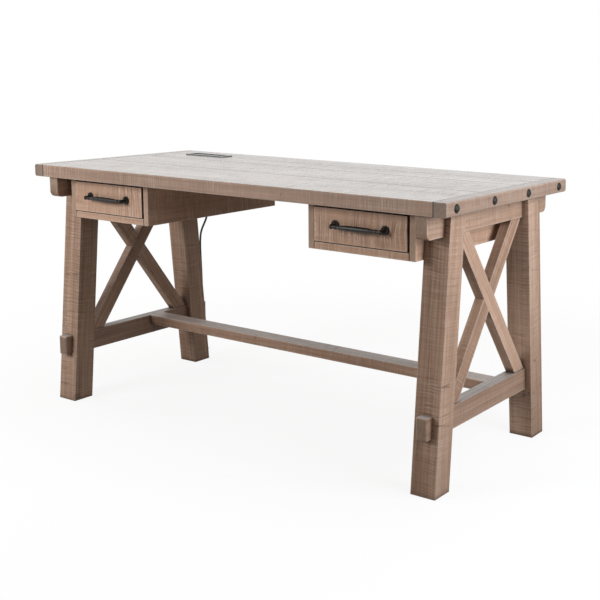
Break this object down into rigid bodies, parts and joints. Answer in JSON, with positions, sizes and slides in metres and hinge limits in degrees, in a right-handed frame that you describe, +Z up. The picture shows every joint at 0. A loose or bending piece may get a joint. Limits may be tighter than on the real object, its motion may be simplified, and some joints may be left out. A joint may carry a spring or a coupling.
{
  "type": "writing desk",
  "caption": "Rustic trestle writing desk with leaning legs, crossed end braces, a long stretcher, two hanging drawers and a power outlet in the top.",
  "frame": {"origin": "on the floor under the middle of the desk", "axes": "+X along the desk to the right, +Y to its back, +Z up"},
  "size_m": [1.6215, 0.7474, 0.766],
  "materials": {
    "top_wood": "rough-sawn, pale brushed grey brown",
    "frame_wood": "rough-sawn, weathered grey brown",
    "case_wood": "rough-sawn, weathered grey brown",
    "inner_wood": "plain sanded",
    "dark_iron": "dark oil-rubbed",
    "bolt_iron": "dark, slightly worn",
    "slide_steel": "zinc plated",
    "outlet_trim": "satin grey",
    "outlet_black": "matt",
    "cord_rubber": "matt",
    "blade_brass": "bright"
  },
  "bodies": {
    "desk": {"plank_1": "top_wood", "plank_2": "top_wood", "plank_3": "top_wood", "plank_4": "top_wood", "end_board_left": "top_wood", "end_bolts_left": "bolt_iron", "batten_left": "frame_wood", "leg_front_left": "frame_wood", "leg_back_left": "frame_wood", "beam_left": "frame_wood", "rail_left": "frame_wood", "brace_a_left": "frame_wood", "brace_b_left": "frame_wood", "case_inner_left": "case_wood", "case_outer_left": "case_wood", "case_back_left": "case_wood", "case_rail_left": "case_wood", "slide_channel_inner_left": "slide_steel", "slide_channel_outer_left": "slide_steel", "end_board_right": "top_wood", "end_bolts_right": "bolt_iron", "batten_right": "frame_wood", "leg_front_right": "frame_wood", "leg_back_right": "frame_wood", "beam_right": "frame_wood", "rail_right": "frame_wood", "brace_a_right": "frame_wood", "brace_b_right": "frame_wood", "case_inner_right": "case_wood", "case_outer_right": "case_wood", "case_back_right": "case_wood", "case_rail_right": "case_wood", "slide_channel_inner_right": "slide_steel", "slide_channel_outer_right": "slide_steel", "stretcher": "frame_wood", "outlet_plate": "outlet_trim", "outlet_face": "outlet_black", "outlet_housing": "outlet_black", "strain_relief": "cord_rubber", "cord": "cord_rubber", "cord_coil": "cord_rubber", "plug": "cord_rubber", "cord_tie": "outlet_black", "plug_blades": "blade_brass"},
    "drawer_left": {"slide_runner_inner_left": "slide_steel", "slide_runner_outer_left": "slide_steel", "drawer_front_left": "case_wood", "drawer_inner_left": "inner_wood", "drawer_outer_left": "inner_wood", "drawer_back_left": "inner_wood", "drawer_floor_left": "inner_wood", "pull_left": "dark_iron"},
    "drawer_right": {"slide_runner_inner_right": "slide_steel", "slide_runner_outer_right": "slide_steel", "drawer_front_right": "case_wood", "drawer_inner_right": "inner_wood", "drawer_outer_right": "inner_wood", "drawer_back_right": "inner_wood", "drawer_floor_right": "inner_wood", "pull_right": "dark_iron"}
  },
  "joints": [
    {"name": "drawer_left_slide", "type": "slide", "parent": "desk", "child": "drawer_left", "axis": [0, -1, 0], "range_m": [0, 0.3]},
    {"name": "drawer_right_slide", "type": "slide", "parent": "desk", "child": "drawer_right", "axis": [0, -1, 0], "range_m": [0, 0.3]}
  ]
}
